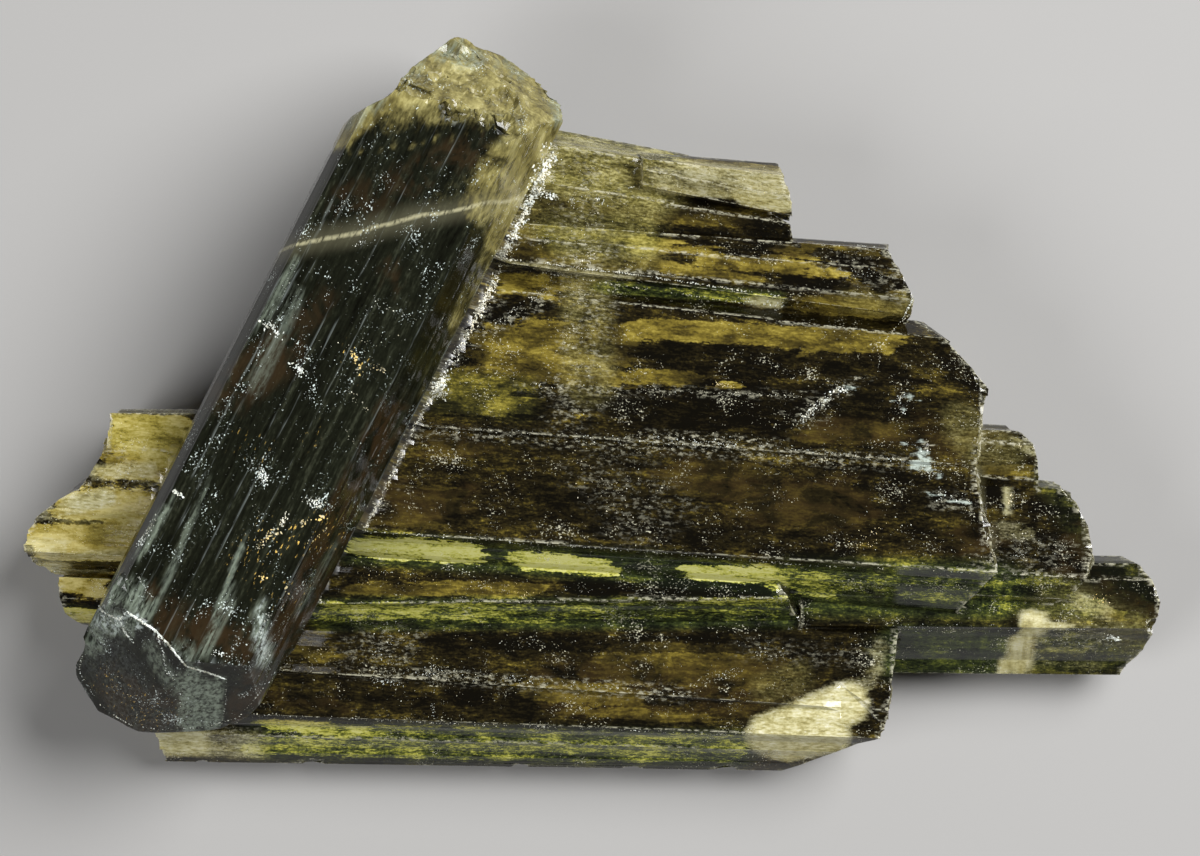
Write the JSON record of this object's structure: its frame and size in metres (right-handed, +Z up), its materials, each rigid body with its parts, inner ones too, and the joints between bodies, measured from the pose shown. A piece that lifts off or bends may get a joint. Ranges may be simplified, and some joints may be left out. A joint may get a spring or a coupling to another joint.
{
  "type": "epidote crystal",
  "caption": "Group of olive to golden-brown epidote prisms in parallel growth with a stout dark crystal grown across them, lying on its flat back.",
  "frame": {"origin": "middle of the bounding box, at the height of the flat back that the group lies on", "axes": "+X along the parallel prisms, towards their stepped free ends; +Y across them, towards the broken end of the crossing crystal; +Z up, out of the face that is shown"},
  "size_m": [0.0344, 0.0226, 0.0083],
  "materials": {
    "plate_epidote": "translucent golden brown to olive green crystal with a vitreous gloss and fine lengthwise striae",
    "cross_epidote": "nearly black, cool green-brown crystal with a vitreous gloss, translucent tan at its broken end"
  },
  "bodies": {
    "root": {"parallel_prisms": "plate_epidote", "crossing_crystal": "cross_epidote"}
  },
  "joints": []
}
